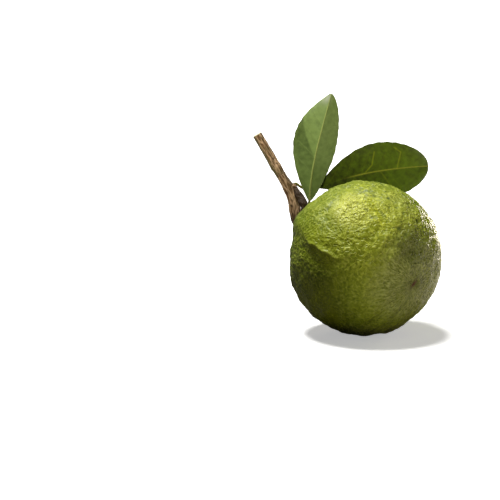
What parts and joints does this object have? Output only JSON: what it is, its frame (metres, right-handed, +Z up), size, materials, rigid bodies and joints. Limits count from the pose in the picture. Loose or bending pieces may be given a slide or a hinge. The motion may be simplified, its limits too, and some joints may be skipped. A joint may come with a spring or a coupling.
{
  "type": "sour orange",
  "caption": "Whole green sour orange lying on its side on a small flat spot, picked with a short woody twig and leaves.",
  "frame": {"origin": "middle of the small flat spot that the fruit rests on, straight under the fruit's centre", "axes": "+Z up; the fruit's stem end, with its twig and leaves, points to +Y and -X, its blossom scar to -Y and +X"},
  "size_m": [0.0933, 0.089, 0.1163],
  "materials": {
    "rind": "satin",
    "calyx": "matte",
    "bark": "matte",
    "leaf": "satin"
  },
  "bodies": {
    "root": {"fruit": "rind", "calyx": "calyx", "twig": "bark", "upright_leaf": "leaf", "side_leaf": "leaf"}
  },
  "joints": []
}
